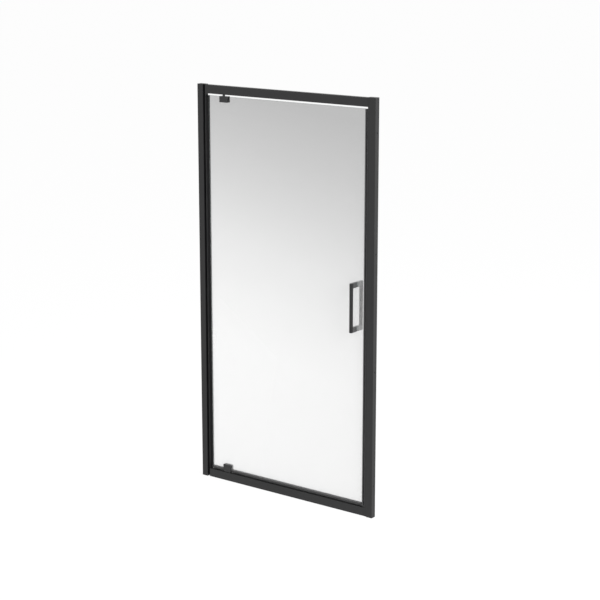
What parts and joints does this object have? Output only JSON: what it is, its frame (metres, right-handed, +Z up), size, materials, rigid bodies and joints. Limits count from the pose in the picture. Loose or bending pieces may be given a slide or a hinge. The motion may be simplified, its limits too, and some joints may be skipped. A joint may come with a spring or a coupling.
{
  "type": "shower door",
  "caption": "Framed pivot shower door: clear glass leaf on offset top and bottom pivots in a black frame with wall channels, header, sill, seals and back-to-back pull handles.",
  "frame": {"origin": "bottom centre of the frame, on the tray, in the middle plane of the glass", "axes": "+X to the right as seen from outside, -Y towards the outside, +Z up"},
  "size_m": [1, 0.088, 1.9],
  "materials": {
    "black_profile": "matte",
    "black_hinge": "matte",
    "black_handle": "satin",
    "black_cap": "matte",
    "acetal": "satin",
    "steel": "satin",
    "soft_seal": "matte",
    "clip_seal": "satin",
    "magnet": "matte",
    "clear_glass": "polished"
  },
  "bodies": {
    "frame": {"left_wall_profile": "black_profile", "right_wall_profile": "black_profile", "left_stile": "black_profile", "right_stile": "black_profile", "left_wall_cap": "black_cap", "right_wall_cap": "black_cap", "header_rail": "black_profile", "sill_rail": "black_profile", "frame_corner_screws": "steel", "adjusting_screws": "steel", "adjusting_screw_caps": "black_cap", "header_pivot_bush": "acetal", "sill_pivot_bush": "acetal", "hinge_side_bulb_seal": "soft_seal", "frame_magnet_strip": "magnet"},
    "door_leaf": {"glass_panel": "clear_glass", "top_hinge_body": "black_hinge", "top_hinge_back_plate": "black_hinge", "bottom_hinge_body": "black_hinge", "bottom_hinge_back_plate": "black_hinge", "hinge_gaskets": "soft_seal", "hinge_clamp_screws": "steel", "top_pivot_pin": "steel", "bottom_pivot_pin": "steel", "hinge_edge_seal": "clip_seal", "magnet_edge_profile": "clip_seal", "door_magnet_strip": "magnet", "bottom_drip_seal": "clip_seal", "outer_handle": "black_handle", "inner_handle": "black_handle", "handle_studs": "steel", "handle_sleeves": "acetal", "handle_washers": "soft_seal"}
  },
  "joints": [
    {"name": "door_swing", "type": "hinge", "parent": "frame", "child": "door_leaf", "pos_m": [-0.354, -0.0065, 0.949], "axis": [0, 0, -1], "range_deg": [0, 100]}
  ]
}
